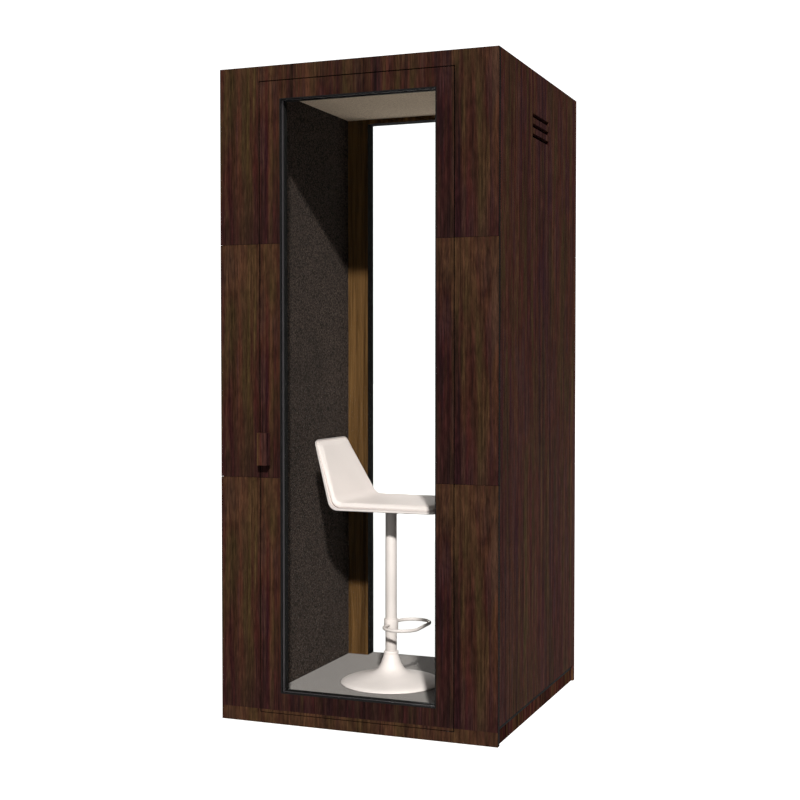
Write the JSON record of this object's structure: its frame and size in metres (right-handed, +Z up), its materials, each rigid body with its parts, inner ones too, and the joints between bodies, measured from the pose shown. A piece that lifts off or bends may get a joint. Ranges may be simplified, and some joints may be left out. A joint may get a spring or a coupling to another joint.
{
  "type": "telephone booth",
  "caption": "Free-standing dark wood office phone booth with a glazed door, glass back, felt-lined walls, desk and white bar stool.",
  "frame": {"origin": "on the floor under the middle of the cabin, at the underside of the central levelling foot", "axes": "+X across the booth towards the door's hinge side, +Y from the door to the glass back, +Z up"},
  "size_m": [1, 1.045, 2.24],
  "materials": {
    "walnut_veneer": "satin dark veneer with vertical grain",
    "feet_steel": "zinc plated",
    "frame_steel": "powder coat, dark grey",
    "threshold_aluminium": "brushed",
    "plywood": "raw birch plywood",
    "carpet": "short pile, grey",
    "softwood": "planed softwood",
    "mineral_wool": "mineral wool slab",
    "wall_felt": "embossed charcoal felt",
    "ceiling_felt": "beige grey felt",
    "black_wood": "matt black paint",
    "seal_rubber": "matt black",
    "rear_oak": "oiled warm brown wood",
    "clear_glass": "clear",
    "pivot_steel": "satin",
    "magnet": "black",
    "fan_plastic": "black",
    "grille_metal": "black powder coat",
    "light_metal": "white",
    "diffuser": "opal",
    "desk_wood": "satin dark veneer",
    "bracket_metal": "black powder coat",
    "panel_plastic": "white",
    "stool_white": "satin off-white powder coat",
    "door_core_wood": "dark stained hardwood",
    "spacer_aluminium": "satin",
    "bead_plastic": "charcoal",
    "bush_brass": "turned",
    "rotor_plastic": "black",
    "switch_plastic": "white",
    "dial_plastic": "black",
    "piston_chrome": "polished",
    "plate_metal": "grey",
    "seat_leather": "off-white synthetic leather",
    "lever_chrome": "satin chrome"
  },
  "bodies": {
    "booth": {"levelling_feet": "feet_steel", "base_frame": "frame_steel", "threshold_plate": "threshold_aluminium", "floor_deck": "plywood", "floor_carpet": "carpet", "wall_frames": "softwood", "wall_cores": "mineral_wool", "left_felt": "wall_felt", "right_felt": "wall_felt", "ceiling_panel": "ceiling_felt", "front_frame": "black_wood", "door_stops": "black_wood", "door_seal": "seal_rubber", "rear_inner_frame": "rear_oak", "rear_retaining_frame": "black_wood", "rear_glass": "clear_glass", "rear_gasket": "seal_rubber", "top_pivot": "pivot_steel", "bottom_pivot": "pivot_steel", "catch_magnet": "magnet", "fan_housing": "fan_plastic", "fan_grille": "grille_metal", "ceiling_light": "light_metal", "light_diffuser": "diffuser", "desk_top": "desk_wood", "desk_brackets": "bracket_metal", "control_panel": "panel_plastic", "stool_base": "stool_white", "stool_column": "stool_white", "footrest_ring": "stool_white", "side_skirtings": "walnut_veneer", "left_cladding": "walnut_veneer", "right_cladding": "walnut_veneer", "roof_panel": "walnut_veneer", "front_lower_board": "walnut_veneer", "front_middle_boards": "walnut_veneer", "front_upper_board": "walnut_veneer", "rear_boards": "walnut_veneer"},
    "door": {"door_latch_stile": "door_core_wood", "door_hinge_stile": "door_core_wood", "door_rails": "door_core_wood", "door_lower_skin": "walnut_veneer", "door_middle_skins": "walnut_veneer", "door_upper_skin": "walnut_veneer", "door_panes": "clear_glass", "door_glass_spacer": "spacer_aluminium", "door_gasket": "seal_rubber", "door_beads": "bead_plastic", "outer_handle": "walnut_veneer", "inner_handle": "walnut_veneer", "handle_bolts": "pivot_steel", "catch_plate": "pivot_steel", "pivot_bushes": "bush_brass"},
    "fan": {"fan_rotor": "rotor_plastic"},
    "rocker": {"light_rocker": "switch_plastic"},
    "dial": {"fan_dial": "dial_plastic"},
    "seat_post": {"gas_piston": "piston_chrome"},
    "seat": {"seat_plate": "plate_metal", "seat_shell": "seat_leather"},
    "lever": {"lift_lever": "lever_chrome"}
  },
  "joints": [
    {"name": "door_hinge", "type": "hinge", "parent": "booth", "child": "door", "pos_m": [0.3285, -0.49, 1], "axis": [0, 0, 1], "range_deg": [0, 110]},
    {"name": "fan_spin", "type": "hinge", "parent": "booth", "child": "fan", "pos_m": [0.43, -0.008, 2.052], "axis": [1, 0, 0], "continuous": true},
    {"name": "light_switch", "type": "hinge", "parent": "booth", "child": "rocker", "pos_m": [0.392, 0.172, 1.23], "axis": [0, 1, 0], "range_deg": [-10, 0]},
    {"name": "fan_control", "type": "hinge", "parent": "booth", "child": "dial", "pos_m": [0.388, 0.128, 1.23], "axis": [-1, 0, 0], "range_deg": [0, 270]},
    {"name": "seat_lift", "type": "slide", "parent": "booth", "child": "seat_post", "axis": [0, 0, 1], "range_m": [0, 0.12]},
    {"name": "seat_swivel", "type": "hinge", "parent": "seat_post", "child": "seat", "pos_m": [-0.056, -0.03, 0.7], "axis": [0, 0, 1], "continuous": true},
    {"name": "lift_lever_hinge", "type": "hinge", "parent": "seat", "child": "lever", "pos_m": [-0.056, 0.01, 0.686], "axis": [1, 0, 0], "range_deg": [0, 8], "stiffness_Nm_per_rad": 0.8, "springref_deg": -8.59}
  ]
}
